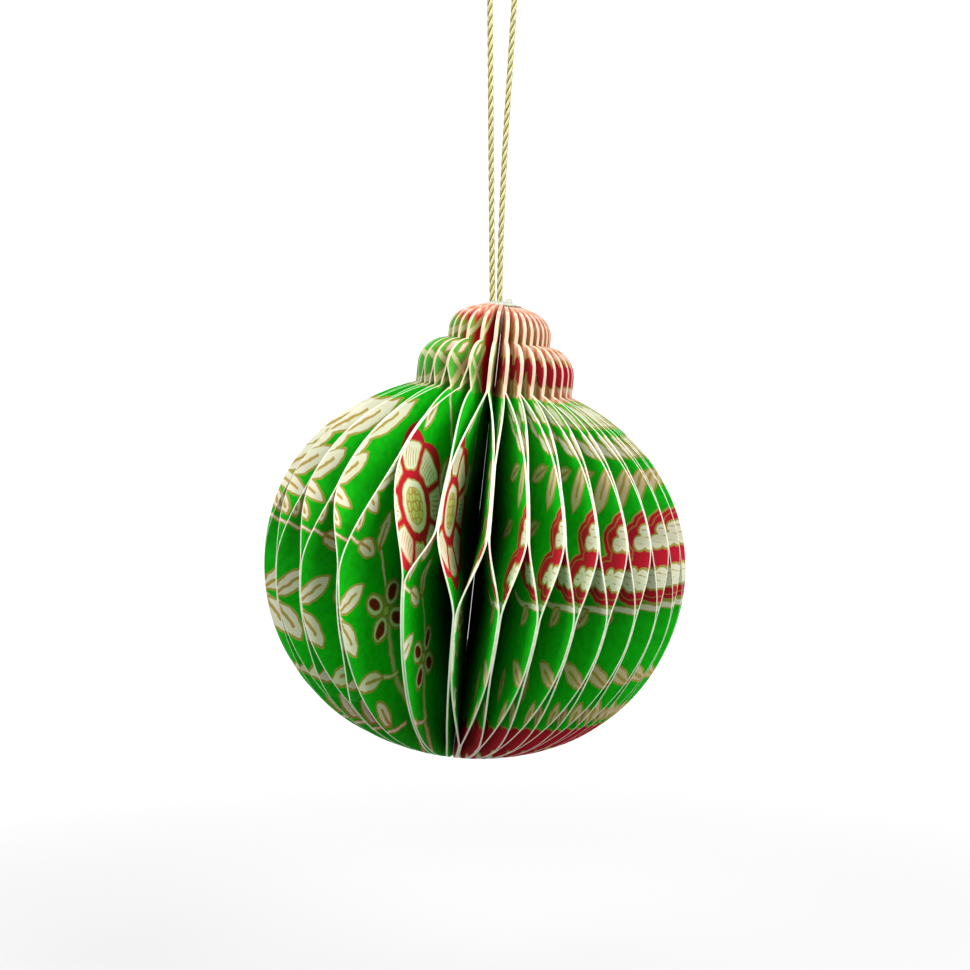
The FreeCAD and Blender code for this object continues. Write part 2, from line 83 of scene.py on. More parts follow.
NODES_IN_A_ROW = 24  # in the shader editor
INK_SOFT = 0.09  # mm, either side of a printed edge
CUT_EDGE_FACING = 0.4  # a surface that faces round the axis by a smaller share is a cut edge
CUT_EDGE_PAINTED_BOUNCE = 0.32  # share of the print's colour painted on a cut edge, as light bounced from the neighbouring sheets
CUT_EDGE_PAINTED_SHADE = 0.6  # share added near the axis, as painted shade
CUT_EDGE_SHADE_REACH = (9.0, 5.5)  # mm from the axis, where that starts and where it is full
BALL_HALVES = (37.9, 34.5)  # mm, half the ball's width and half its height
DEEP_PAINTED_SHADE_REACH = (0.40, 0.78)  # from axis to rim, where the print's painted shade is darkest and where it has cleared
DEEP_PAINTED_SHADE = 0.10  # share of its brightness that the print keeps there under the painted shade

# The print, in mm on the sheet: radius from the bauble's axis, and height along it from the
# ball's widest level. A leaf is its base, its tip and half its width; a stroke is its two ends
# and its bow; a disc is its centre and its radius; an oval is its centre, half its length and
# half its width.
FRONT_LEAVES = (
    ((38.4, 14.2), (32.4, 9.6), 1.7),
    ((36.6, 13.0), (28.6, 19.3), 1.9),
    ((37.4, 10.6), (36.0, 6.4), 1.2),
    ((34.8, 4.8), (29.6, 2.2), 1.75),
    ((38.2, -7.4), (31.4, -2.6), 1.9),
    ((37.6, -8.4), (32.2, -14.8), 1.9),
    ((29.0, 2.6), (28.7, 10.4), 1.55),
    ((24.6, -18.8), (32.0, -20.2), 1.8),
    ((21.2, -28.0), (26.2, -22.8), 1.6),
    ((31.8, 20.6), (18.6, 28.6), 1.9),
    ((33.6, 17.6), (28.0, 23.6), 1.5),
    ((3.0, 32.6), (7.2, 26.8), 1.4),
    ((-2.8, 22.8), (0.8, 15.6), 1.4),
)
FRONT_STEMS = (
    ((24.3, -8.6), (20.6, -20.0), 0.6),
    ((20.6, -20.0), (11.0, -33.5), -0.7),
)
FRONT_VINES = (
    ((25.6, -6.0), (29.0, 3.6), 0.9),
    ((38.0, 5.9), (33.6, 4.4), 0.3),
    ((24.8, -18.8), (20.8, -18.4), 0.3),
    ((17.2, -27.6), (23.6, -28.6), -0.4),
    ((38.2, -7.0), (36.2, -9.0), 0.2),
    ((36.0, 13.4), (38.2, 12.4), 0.2),
    ((1.0, 35.0), (-3.4, 18.0), -1.6),
)

# A leaf's belly and midrib, as shares of half its length, and the belly's radius as a share of
# half its width.
BELLY_PLACE = 0.32
BELLY_RADIUS = 0.94
RIB_PLACE = 0.3
RIB_REACH = 0.62

# The small flower: its place and turn, and on its first ray a petal and the petal's heart.
FLOWER = ((25.2, -7.5, 0.0), math.radians(21.5))
FLOWER_PETALS = 4
FLOWER_PETAL = (3.35, 0, 2.6, 2.1)
FLOWER_HEART = (3.5, 0, 1.7, 1.1)
FLOWER_MIDDLE = 0.95

# The large blossom: its place and turn, then the sizes of its ground, petals and seed head.
BLOSSOM = ((11.0, 14.5, 0.0), math.radians(2.0))
BLOSSOM_PETALS = 8
BLOSSOM_GROUND = 11.4
BLOSSOM_SCALLOP = 1.5
PETAL_RING = 8.35
PETAL_HALF_LENGTH = 2.5
PETAL_HALF_GAP = 0.42
PETAL_CORNER = 1.3
PETAL_VEIN_STEP = 0.4
SEED_GROUND = 5.75
SEED_HEAD = 4.5
SEED_MIDDLE = 3.1
SEED_EDGE = (0.16, 0.07)  # from the line between two seeds: where ink starts and is full

BACK_LEAVES = (
    ((27.6, 20.2), (21.4, 17.2), 1.5),
    ((30.7, 21.6), (29.0, 12.6), 1.75),
    ((26.6, 10.6), (20.8, 7.4), 1.4),
    ((33.4, -2.4), (29.8, -6.2), 1.35),
    ((35.2, -15.6), (28.6, -12.4), 1.6),
    ((25.2, -20.6), (25.4, -13.8), 1.3),
    ((28.2, -24.6), (30.4, -18.8), 1.2),
)
SHOULDER_LEAVES = (
    ((15.0, 30.6), (23.0, 26.6), 0.65),
    ((16.0, 28.8), (23.6, 24.2), 0.7),
    ((23.0, 27.6), (31.0, 21.2), 0.85),
    ((22.4, 25.4), (28.2, 22.2), 0.7),
)
BACK_VINES = (
    ((26.4, -1.4), (32.0, -2.6), -0.4),
    ((32.0, -2.6), (38.4, -2.1), 0.2),
    ((34.6, -15.4), (36.6, -17.2), 0.2),
)
BLOOM = (
    (36.8, 11.0, 4.5),
    (34.4, 9.6, 3.4),
    (33.8, 3.6, 3.5),
    (36.8, 2.6, 4.0),
    (38.5, 7.0, 6.0),
)
BLOOM_PETALS = (
    ((36.8, 9.9, 2.3), (34.8, 8.8, 1.5), (35.2, 11.1, 1.2), (38.8, 9.9, 2.5)),
    ((36.8, 3.0, 2.0), (34.4, 2.5, 1.4), (34.7, 4.0, 1.1), (38.8, 2.9, 2.2)),
)
ECHO_INSIDE = 1.15  # mm, from the bloom's outline in to the fainter line that echoes it
ECHO_HALF = (0.2, 0.06)  # half its width, where its ink starts and is full
ECHO_INK = 0.55
FOOT_BLOOM = (
    (26.2, -27.4, 3.2),
    (21.4, -28.2, 4.4),
    (14.6, -30.6, 5.0),
    (7.4, -32.2, 5.4),
)
FOOT_PETALS = (
    (25.0, -29.6, 1.2),
    (20.2, -31.0, 1.5),
    (13.4, -33.2, 1.6),
    (7.2, -34.8, 1.6),
)

CAP_VINES = (
    ((14.8, 31.4), (7.6, 38.6), 0.6),
    ((14.6, 38.0), (8.2, 31.2), -0.5),
    ((10.2, 40.4), (5.4, 44.4), 0.3),
)
CAP_LEAVES = (
    ((12.2, 37.0), (9.0, 39.6), 0.7),
)
CAP_BAND = (
    (14.0, 34.9, 2.1),
    (12.0, 36.5, 1.5),
    (10.2, 35.0, 1.6),
    (8.2, 36.6, 1.5),
    (6.6, 35.2, 1.9),
    (4.2, 36.6, 2.4),
)

# Levels in mm where one colour starts to give way to the next, and where it has.
CAP_START = (30.4, 31.0)
KNOB_START = 40.5
KNOB_STREAKS_START = (41.2, 42.0)
FRONT_CROWN_START = (44.0, 45.4)
BACK_CROWN_START = (45.4, 46.6)

# Radii in mm where the cap starts to turn crimson towards the axis, and where it has.
FRONT_CAP_CRIMSON = (9.2, 7.2)
BACK_CAP_CRIMSON = (5.2, 3.6)
CAP_MINT = 0.14  # share of mint in the cap's green

# Half the width of the strokes, in mm.
STEM_HALF = 0.72
VINE_HALF = 0.42
BACK_VINE_HALF = 0.68
CAP_VINE_HALF = 0.62

# Midribs and veins, in mm: half their width, where their ink starts and where it is full; how
# far inside the outline they start and are full; the radii where the blossom's veins start to
# end and have; and half the way from one vein of the bloom to the next.
FRONT_RIB = (0.36, 0.16)
BACK_RIB = (0.4, 0.15)
RIB_INSIDE = (-0.3, -0.5)
BLOSSOM_VEIN = (0.15, 0.03)
BLOSSOM_VEIN_INSIDE = (-0.5, -0.9)
BLOSSOM_VEIN_ENDS = (10.0, 9.0)
BLOOM_VEIN = (0.13, 0.04)
BLOOM_VEIN_INSIDE = (-0.6, -0.9)
BLOOM_VEIN_STEP = 0.62

# Widths of the outlines, in mm.
LINES = {
    "ground": 0.1,
    "cap vine": 0.12,
    "heart": 0.16,
    "seeds": 0.18,
    "vine": 0.2,
    "shoulder leaf": 0.22,
    "seed head": 0.25,
    "cap band": 0.25,
    "stem": 0.28,
    "cap leaf": 0.3,
    "foot": 0.3,
    "blossom petal": 0.3,
    "bloom": 0.34,
    "tan leaf": 0.36,
    "leaf": 0.42,
}

# How far each paper's print lies from its usual place: radius and height, in mm.
PAPERS = {
    "printed_paper": (0.0, 0.0),
    "printed_paper_low": (0.0, -6.5),
    "printed_paper_far": (17.5, -3.0),
}
SHIFTED = {
    "leaf_53": "printed_paper_far",
    "leaf_54": "printed_paper_low",
    "leaf_55": "printed_paper_far",
}

# Soft lights: turn to the right of the front and rise, in radians, size in m and power in W.
LAMPS = {
    "key_light": (math.radians(48), math.radians(36), 0.6, 9.3),
    "fill_light": (math.radians(-54), math.radians(30), 0.6, 6.6),
    "top_light": (math.radians(-15), math.radians(66), 0.5, 3.7),
}
SWEEP_STEPS = 24
GLOW_REACH = (0.15, 0.5)  # m from the origin's upright, where the floor's glow grows and is full


def colour(name, description, red, green, blue):
    """A colour that the user can change."""
    return FloatVectorProperty(
        name=name,
        description=description,
        default=(red, green, blue, 1),
        size=4,
        subtype="COLOR",
        min=0,
        max=1,
    )


def measure(name, description, default):
    """A length in metres that the user can change."""
    return FloatProperty(name=name, description=description, default=default, unit="LENGTH")


class BaubleStance(bpy.types.PropertyGroup):
    """Where the bauble hangs in the frame"""

    lean: FloatProperty(
        name="Lean",
        description="How far the bauble's axis leans towards +X",
        default=math.radians(6.2),
        subtype="ANGLE",
    )
    widest: FloatVectorProperty(
        name="Widest level",
        description="Where the axis crosses the ball's widest level",
        default=(-5.17 * MM, 0.0, -108.36 * MM),
        subtype="TRANSLATION",
    )


class BaubleCamera(bpy.types.PropertyGroup):
    """The camera's place, from the bauble's widest level"""

    distance: measure("Distance", "From the camera to the bauble's axis, level", 340 * MM)
    above: measure("Above", "Height of the camera over the widest level", 40 * MM)
    look: FloatVectorProperty(
        name="Look",
        description="What the camera looks at, from the axis at the widest level",
        default=(1.85 * MM, 0.0, 14.1 * MM),
        subtype="TRANSLATION",
    )
    field: measure("Field", "Width of the view at what the camera looks at", 174.6 * MM)


class PrintInks(bpy.types.PropertyGroup):
    """Inks and paper of the printed leaves"""

    green: colour("Green", "Ground of the print", 0.002, 0.52, 0.003)
    deep_green: colour("Deep green", "Mottles of the ground", 0.0015, 0.40, 0.002)
    cream: colour("Cream", "Leaves, vines and petals", 0.85, 0.81, 0.62)
    olive: colour("Olive", "Thick stems", 0.60, 0.60, 0.30)
    gold: colour("Gold", "Lines round leaves, vines and blooms", 0.42, 0.35, 0.06)
    ochre: colour("Ochre", "Midribs and veins", 0.50, 0.34, 0.08)
    tan: colour("Tan", "Leaves on the back of a sheet", 0.72, 0.58, 0.34)
    crimson: colour("Crimson", "Blooms, and the cap near the axis", 0.56, 0.007, 0.026)
    heart: colour("Heart", "Hearts of the small flower", 0.24, 0.014, 0.008)
    seed: colour("Seed", "Middle of the blossom", 0.66, 0.66, 0.20)
    mint: colour("Mint", "Vines on the cap", 0.56, 0.76, 0.34)
    peach: colour("Peach", "Cap, on the back of a sheet", 0.86, 0.22, 0.09)
    rust: colour("Rust", "Knob, on the back of a sheet", 0.74, 0.26, 0.13)
    blush: colour("Blush", "Streaks in the peach", 0.96, 0.54, 0.42)
    salmon: colour("Salmon", "Crown of the knob", 0.86, 0.50, 0.39)
    core: colour("Paper", "Cut edges", 0.86, 0.84, 0.74)


class DriedGlue(bpy.types.PropertyGroup):
    """Colours of the dried glue"""

    milk: colour("Milk", "Where the glue is cloudy", 0.78, 0.84, 0.66)
    clear: colour("Clear", "Where the glue is clearer", 0.93, 0.94, 0.86)


class CordTwist(bpy.types.PropertyGroup):
    """Sizes and colours of the twisted cord"""

    diameter: measure("Diameter", "Of the whole cord", 1.1 * MM)
    strands: IntProperty(name="Strands", description="Twisted together", default=3, min=2)
    lay: measure("Lay", "Length of one full turn of a strand", 5.4 * MM)
    pressed: FloatProperty(
        name="Pressed",
        description="How much thicker a strand is than it would be if it only touched the others",
        default=0.18,
        min=0,
    )
    thread: colour("Thread", "Of the strands", 0.52, 0.48, 0.22)
    shaded: colour("Shaded thread", "Between the fibres", 0.32, 0.285, 0.095)
    painted_groove_shade: colour("Groove", "Between the strands", 0.10, 0.085, 0.02)


class Studio(bpy.types.PropertyGroup):
    """The floor, its backdrop and the lights"""

    floor_drop: measure("Floor", "Hook down to the floor", 205 * MM)
    floor_width: measure("Floor width", "Of the sheet, each way", 3.2)
    wall_height: measure("Wall height", "Of the sheet behind", 1.8)
    sweep: measure("Sweep", "From floor to wall", 0.5)
    floor_colour: colour("Floor colour", "Of the sheet", 0.36, 0.36, 0.36)
    floor_lift: FloatProperty(
        name="Floor lift",
        description="Glow of the sheet near the bauble, where it is seen directly",
        default=0.56,
        min=0,
    )
    lamp_distance: measure("Lamp distance", "From the ball's middle", 0.9)
    daylight: FloatProperty(
        name="Daylight", description="Light from all round", default=0.07, min=0, max=1
    )


class Wiring:
    """Adds nodes to a tree, each wired to the values that it is given"""

    def __init__(self, tree):
        self.tree = tree

    def add(self, kind, inputs, **settings):
        """A new node of that kind, with those inputs and settings, laid out in rows."""
        node = self.tree.nodes.new(kind)
        row, column = divmod(len(self.tree.nodes), NODES_IN_A_ROW)
        node.location = (180 * column, -320 * row)
        for name, value in settings.items():
            setattr(node, name, value)
        self.feed(node.inputs, inputs)
        return node

    def feed(self, sockets, values):
        """Each named socket wired to its value, or set to it."""
        for key, value in values.items():
            if isinstance(value, bpy.types.NodeSocket):
                self.tree.links.new(value, sockets[key])
            else:
                sockets[key].default_value = value

    def math(self, operation, *values):
        return self.add("ShaderNodeMath", dict(enumerate(values)), operation=operation).outputs[0]

    def vector(self, operation, *values):
        """What a vector operation gives: a vector, or the number that some of them give."""
        node = self.add("ShaderNodeVectorMath", dict(enumerate(values)), operation=operation)
        number = operation in ("LENGTH", "DISTANCE", "DOT_PRODUCT")
        return node.outputs["Value" if number else "Vector"]

    def scaled(self, vector, scale):
        node = self.add("ShaderNodeVectorMath", {0: vector, "Scale": scale}, operation="SCALE")
        return node.outputs["Vector"]

    def split(self, vector):
        return self.add("ShaderNodeSeparateXYZ", {0: vector}).outputs

    def join(self, across, up):
        return self.add("ShaderNodeCombineXYZ", {0: across, 1: up}).outputs[0]

    def place(self):
        """The place on the piece, in metres."""
        return self.add("ShaderNodeTexCoord", {}).outputs["Object"]

    def fade(self, value, start, end):
        """0 at start, 1 at end, and smooth between."""
        inputs = {"Value": value, "From Min": start, "From Max": end}
        return self.add("ShaderNodeMapRange", inputs, interpolation_type="SMOOTHSTEP").outputs[0]

    def spread(self, value, low, high):
        """A value from 0 to 1, spread from low to high."""
        inputs = {"Value": value, "To Min": low, "To Max": high}
        return self.add("ShaderNodeMapRange", inputs).outputs[0]

    def mix(self, share, one, other):
        """One colour, or by that share the other."""
        inputs = {0: share, 6: one, 7: other}
        return self.add("ShaderNodeMix", inputs, data_type="RGBA").outputs[2]

    def noise(self, vector, scale, detail=2.0):
        """Noise by its place, with that many patches to a unit."""
        inputs = {"Vector": vector, "Scale": scale, "Detail": detail}
        return self.add("ShaderNodeTexNoise", inputs).outputs

    def wander(self, vector, scale, detail, width):
        """A drift by its place, to all sides and within that width."""
        drift = self.noise(vector, scale, detail)["Color"]
        return self.scaled(self.vector("SUBTRACT", drift, (0.5, 0.5, 0.5)), width)

    def streaks(self, point, slope, step):
        """Distance across from the nearest of slanting lines that stand two steps apart."""
        across, up, _ = self.split(point)
        return self.math("PINGPONG", self.math("MULTIPLY_ADD", up, slope, across), step)

    def bump(self, height, strength, depth):
        """The normal of a surface that a height from 0 to 1 roughens."""
        inputs = {"Height": height, "Strength": strength, "Distance": depth}
        return self.add("ShaderNodeBump", inputs).outputs["Normal"]

    def turned(self, vector, kind, place, turn, scale=1.0):
        """The vector scaled, turned and moved, or with the kind TEXTURE as seen from there."""
        inputs = {"Vector": vector, "Rotation": turn, "Scale": (scale, scale, scale)}
        if kind != "VECTOR":
            inputs["Location"] = place
        return self.add("ShaderNodeMapping", inputs, vector_type=kind).outputs[0]

    def least(self, distances):
        """The least of distances from shapes, which is the distance from all of them as one."""
        found = distances[0]
        for distance in distances[1:]:
            found = self.math("MINIMUM", found, distance)
        return found

    def use(self, group, **inputs):
        """A group's outputs, with its inputs given under their own names."""
        named = {name.replace("_", " ").capitalize(): value for name, value in inputs.items()}
        return self.add("ShaderNodeGroup", named, node_tree=bpy.data.node_groups[group]).outputs

    def discs(self, point, discs):
        """Distance from the outline of overlapping discs, each (across, up, radius)."""
        return self.least([
            self.math("SUBTRACT", self.vector("DISTANCE", point, (across, up, 0)), radius)
            for across, up, radius in discs
        ])

    def oval(self, point, across, up, long, wide):
        """Distance from an oval's outline, near enough."""
        shape = self.vector("SUBTRACT", point, (across, up, 0))
        shape = self.vector("DIVIDE", shape, (long, wide, 1))
        return self.math("MULTIPLY_ADD", self.vector("LENGTH", shape), wide, -wide)

    def leaves(self, point, leaves):
        """Distances from the outlines and the midribs of leaves, each (base, tip, half width)."""
        blades, ribs = [], []
        for base, tip, width in leaves:
            place, turn, length = span(base, tip)
            leaf = self.use(
                "pointed_leaf",
                point=point,
                place=place,
                turn=turn,
                half_length=length,
                half_width=width,
            )
            blades.append(leaf["Blade"])
            ribs.append(leaf["Rib"])
        return self.least(blades), self.least(ribs)

    def strokes(self, point, strokes):
        """Distance from the middle of strokes, each (start, end, bow)."""
        lines = []
        for start, end, bow in strokes:
            place, turn, length = span(start, end)
            line = self.use(
                "stroke", point=point, place=place, turn=turn, half_length=length, bow=bow
            )
            lines.append(line["Distance"])
        return self.least(lines)

    def paint(self, under, distance, line, width, fill):
        """A shape over what is under it: its drawn outline, and within that its fill."""
        edged = self.mix(self.fade(distance, INK_SOFT, -INK_SOFT), under, line)
        within = self.fade(distance, INK_SOFT - width, -INK_SOFT - width)
        return self.mix(within, edged, fill)

    def paint_strokes(self, under, point, strokes, half, line, width, fill):
        """Strokes of that half width over what is under them, each outlined and filled."""
        edge = self.math("SUBTRACT", self.strokes(point, strokes), half)
        return self.paint(under, edge, line, width, fill)

    def paint_ribs(self, under, blade, rib, half, ink):
        """The midribs of leaves, from just inside their outlines."""
        shown = self.math("MULTIPLY", self.fade(rib, *half), self.fade(blade, *RIB_INSIDE))
        return self.mix(shown, under, ink)


def span(start, end):
    """The middle, the turn and half the length from a start to an end."""
    across, up = end[0] - start[0], end[1] - start[1]
    place = ((start[0] + end[0]) / 2, (start[1] + end[1]) / 2, 0)
    return place, (0, 0, math.atan2(up, across)), math.hypot(across, up) / 2


# The inputs of a group that draws a shape at a place, under a turn.
PLACED = {"Point": "Vector", "Place": "Vector", "Turn": "Vector"}


def new_group(name, inputs, outputs):
    """An empty node group with those sockets: its wiring, its inputs and its output node."""
    group = bpy.data.node_groups.new(name, "ShaderNodeTree")
    for direction, sockets in (("INPUT", inputs), ("OUTPUT", outputs)):
        for socket, kind in sockets.items():
            group.interface.new_socket(socket, in_out=direction, socket_type="NodeSocket" + kind)
    given = group.nodes.new("NodeGroupInput").outputs
    return Wiring(group), given, group.nodes.new("NodeGroupOutput")


def finish_group(wiring, result, **outputs):
    """The group's outputs, given under their own names."""
    wiring.feed(result.inputs, {name.capitalize(): value for name, value in outputs.items()})


def make_leaf_group():
    """A pointed leaf with a rounder base: distances from its outline and its midrib.

    The outline is two arcs that meet in points, and a disc in the half that holds the base.
    """
    wiring, given, result = new_group(
        "pointed_leaf",
        {**PLACED, "Half length": "Float", "Half width": "Float"},
        {"Blade": "Float", "Rib": "Float"},
    )
    length, width = given["Half length"], given["Half width"]
    spot = wiring.turned(given["Point"], "TEXTURE", given["Place"], given["Turn"])
    depth = wiring.math("MULTIPLY", width, 2.0)
    radius = wiring.math("DIVIDE", wiring.math("MULTIPLY", length, length), depth)
    radius = wiring.math("MULTIPLY_ADD", width, 0.5, radius)
    centre = wiring.join(0.0, wiring.math("SUBTRACT", width, radius))
    lens = wiring.vector("DISTANCE", wiring.vector("ABSOLUTE", spot), centre)
    lens = wiring.math("SUBTRACT", lens, radius)
    belly = wiring.join(wiring.math("MULTIPLY", length, -BELLY_PLACE), 0.0)
    belly = wiring.vector("DISTANCE", spot, belly)
    belly = wiring.math("MULTIPLY_ADD", width, -BELLY_RADIUS, belly)
    middle = wiring.join(wiring.math("MULTIPLY", length, RIB_PLACE), 0.0)
    reach = wiring.join(wiring.math("MULTIPLY", length, RIB_REACH), 0.0)
    past = wiring.vector("ABSOLUTE", wiring.vector("ADD", spot, middle))
    past = wiring.vector("MAXIMUM", wiring.vector("SUBTRACT", past, reach), (0, 0, 0))
    blade = wiring.math("MINIMUM", lens, belly)
    finish_group(wiring, result, blade=blade, rib=wiring.vector("LENGTH", past))


def make_stroke_group():
    """A bowed stroke: distance from its middle line."""
    wiring, given, result = new_group(
        "stroke", {**PLACED, "Half length": "Float", "Bow": "Float"}, {"Distance": "Float"}
    )
    spot = wiring.split(wiring.turned(given["Point"], "TEXTURE", given["Place"], given["Turn"]))
    share = wiring.math("DIVIDE", spot[0], given["Half length"])
    bow = wiring.math("MULTIPLY", wiring.math("MULTIPLY", share, share), given["Bow"])
    up = wiring.math("ADD", wiring.math("SUBTRACT", spot[1], given["Bow"]), bow)
    past = wiring.math("SUBTRACT", wiring.math("ABSOLUTE", spot[0]), given["Half length"])
    past = wiring.math("MAXIMUM", past, 0.0)
    finish_group(wiring, result, distance=wiring.vector("LENGTH", wiring.join(past, up)))


def make_petal_group():
    """A flower folded on itself, so that what is drawn on its first ray stands on each."""
    wiring, given, result = new_group(
        "petals",
        {**PLACED, "Half step": "Float"},
        {"Folded": "Vector", "Reach": "Float", "Angle": "Float"},
    )
    spot = wiring.turned(given["Point"], "TEXTURE", given["Place"], given["Turn"])
    across, up, _ = wiring.split(spot)
    angle = wiring.math("ARCTAN2", up, across)
    folded = wiring.math("PINGPONG", angle, given["Half step"])
    reach = wiring.vector("LENGTH", spot)
    ray = wiring.join(wiring.math("COSINE", folded), wiring.math("SINE", folded))
    finish_group(wiring, result, folded=wiring.scaled(ray, reach), reach=reach, angle=folded)


def seen_directly(wiring):
    """1 for what is seen directly, in a gloss or through glass, and 0 for light on the object."""
    path = wiring.add("ShaderNodeLightPath", {}).outputs
    share = wiring.math("MAXIMUM", path["Is Camera Ray"], path["Is Glossy Ray"])
    return wiring.math("MAXIMUM", share, path["Is Transmission Ray"])


def make_blossom_group():
    """The large blossom: veined petals in a scalloped crimson ground, round a seed head."""
    wiring, given, result = new_group(
        "blossom",
        {
            "Point": "Vector",
            "Under": "Color",
            "Crimson": "Color",
            "Cream": "Color",
            "Ochre": "Color",
            "Seed": "Color",
        },
        {"Colour": "Color"},
    )
    crimson, cream, ochre = given["Crimson"], given["Cream"], given["Ochre"]
    place, turn = BLOSSOM
    half_step = math.pi / BLOSSOM_PETALS
    petals = wiring.use(
        "petals", point=given["Point"], place=place, turn=(0, 0, turn), half_step=half_step
    )
    reach, angle = petals["Reach"], petals["Angle"]
    scallop = wiring.math("COSINE", wiring.math("MULTIPLY", angle, BLOSSOM_PETALS / 2))
    edge = wiring.math("SUBTRACT", reach, BLOSSOM_GROUND)
    edge = wiring.math("MULTIPLY_ADD", scallop, -BLOSSOM_SCALLOP, edge)
    sheet = wiring.paint(given["Under"], edge, crimson, LINES["ground"], crimson)
    away = wiring.math("SUBTRACT", angle, half_step)
    flank = wiring.math("ADD", wiring.math("MULTIPLY", away, reach), PETAL_HALF_GAP)
    band = wiring.math("ABSOLUTE", wiring.math("SUBTRACT", reach, PETAL_RING))
    band = wiring.math("SUBTRACT", band, PETAL_HALF_LENGTH)
    petal = wiring.math("SMOOTH_MAX", band, flank, PETAL_CORNER)
    sheet = wiring.paint(sheet, petal, ochre, LINES["blossom petal"], cream)
    vein = wiring.math("PINGPONG", wiring.split(petals["Folded"])[1], PETAL_VEIN_STEP)
    inside = wiring.fade(petal, *BLOSSOM_VEIN_INSIDE)
    vein = wiring.math("MULTIPLY", wiring.fade(vein, *BLOSSOM_VEIN), inside)
    vein = wiring.math("MULTIPLY", vein, wiring.fade(reach, *BLOSSOM_VEIN_ENDS))
    sheet = wiring.mix(vein, sheet, ochre)
    ring = wiring.math("SUBTRACT", reach, SEED_GROUND)
    sheet = wiring.paint(sheet, ring, crimson, LINES["ground"], crimson)
    head = wiring.math("SUBTRACT", reach, SEED_HEAD)
    sheet = wiring.paint(sheet, head, ochre, LINES["seed head"], cream)
    seeds = wiring.add(
        "ShaderNodeTexVoronoi",
        {"Vector": given["Point"], "Scale": 0.78, "Randomness": 0.55},
        feature="DISTANCE_TO_EDGE",
    ).outputs["Distance"]
    seeds = wiring.mix(wiring.fade(seeds, *SEED_EDGE), given["Seed"], ochre)
    middle = wiring.math("SUBTRACT", reach, SEED_MIDDLE)
    sheet = wiring.paint(sheet, middle, ochre, LINES["seeds"], seeds)
    finish_group(wiring, result, colour=sheet)


def paint_front(wiring, inks, point, ground):
    """The front of a sheet: a vine with leaves, a small flower and the large blossom."""
    gold, cream = inks.gold, inks.cream
    sheet = wiring.use(
        "blossom",
        point=point,
        under=ground,
        crimson=inks.crimson,
        cream=cream,
        ochre=inks.ochre,
        seed=inks.seed,
    )["Colour"]
    sheet = wiring.paint_strokes(
        sheet, point, FRONT_STEMS, STEM_HALF, gold, LINES["stem"], inks.olive
    )
    sheet = wiring.paint_strokes(sheet, point, FRONT_VINES, VINE_HALF, gold, LINES["vine"], cream)
    blade, rib = wiring.leaves(point, FRONT_LEAVES)
    sheet = wiring.paint(sheet, blade, gold, LINES["leaf"], cream)
    sheet = wiring.paint_ribs(sheet, blade, rib, FRONT_RIB, inks.ochre)
    place, turn = FLOWER
    half_step = math.pi / FLOWER_PETALS
    flower = wiring.use("petals", point=point, place=place, turn=(0, 0, turn), half_step=half_step)
    petal = wiring.oval(flower["Folded"], *FLOWER_PETAL)
    sheet = wiring.paint(sheet, petal, gold, LINES["leaf"], cream)
    heart = wiring.oval(flower["Folded"], *FLOWER_HEART)
    sheet = wiring.paint(sheet, heart, inks.ochre, LINES["heart"], inks.heart)
    middle = wiring.math("SUBTRACT", flower["Reach"], FLOWER_MIDDLE)
    return wiring.paint(sheet, middle, gold, LINES["vine"], inks.seed)


def paint_back(wiring, inks, point, ground):
    """The back of a sheet: leaves, a crimson bloom with two petals, and blooms at the foot."""
    gold, cream, ochre = inks.gold, inks.cream, inks.ochre
    blade, _ = wiring.leaves(point, SHOULDER_LEAVES)
    sheet = wiring.paint(ground, blade, gold, LINES["shoulder leaf"], cream)
    bloom = wiring.discs(point, BLOOM)
    sheet = wiring.paint(sheet, bloom, gold, LINES["bloom"], inks.crimson)
    echo = wiring.math("ABSOLUTE", wiring.math("ADD", bloom, ECHO_INSIDE))
    echo = wiring.math("MULTIPLY", wiring.fade(echo, *ECHO_HALF), ECHO_INK)
    sheet = wiring.mix(echo, sheet, gold)
    veins = wiring.math("PINGPONG", wiring.split(point)[1], BLOOM_VEIN_STEP)
    veins = wiring.fade(veins, *BLOOM_VEIN)
    torn = wiring.fade(wiring.noise(point, scale=0.9)["Fac"], 0.44, 0.54)
    for petal in BLOOM_PETALS:
        shape = wiring.discs(point, petal)
        sheet = wiring.paint(sheet, shape, gold, LINES["bloom"], cream)
        shown = wiring.math("MULTIPLY", veins, wiring.fade(shape, *BLOOM_VEIN_INSIDE))
        sheet = wiring.mix(wiring.math("MULTIPLY", shown, torn), sheet, ochre)
    foot = wiring.discs(point, FOOT_BLOOM)
    sheet = wiring.paint(sheet, foot, gold, LINES["foot"], inks.crimson)
    petals = wiring.discs(point, FOOT_PETALS)
    sheet = wiring.paint(sheet, petals, ochre, LINES["foot"], cream)
    sheet = wiring.paint_strokes(
        sheet, point, BACK_VINES, BACK_VINE_HALF, gold, LINES["vine"], cream
    )
    blade, rib = wiring.leaves(point, BACK_LEAVES)
    sheet = wiring.paint(sheet, blade, gold, LINES["tan leaf"], inks.tan)
    return wiring.paint_ribs(sheet, blade, rib, BACK_RIB, ochre)


def paint_front_cap(wiring, inks, point, ground):
    """The cap on the front of a sheet: crossing vines on green, crimson towards the axis."""
    across, up, _ = wiring.split(point)
    pale = wiring.mix(CAP_MINT, ground, inks.mint)
    sheet = wiring.mix(wiring.fade(across, *FRONT_CAP_CRIMSON), pale, inks.crimson)
    sheet = wiring.paint_strokes(
        sheet, point, CAP_VINES, CAP_VINE_HALF, inks.gold, LINES["cap vine"], inks.mint
    )
    blade, _ = wiring.leaves(point, CAP_LEAVES)
    sheet = wiring.paint(sheet, blade, inks.gold, LINES["cap leaf"], inks.cream)
    streak = wiring.streaks(point, slope=0.3, step=0.9)
    crown = wiring.mix(wiring.fade(streak, 0.35, 0.65), inks.rust, inks.salmon)
    crown = wiring.mix(wiring.fade(streak, 0.75, 0.85), crown, inks.cream)
    return wiring.mix(wiring.fade(up, *FRONT_CROWN_START), sheet, crown)


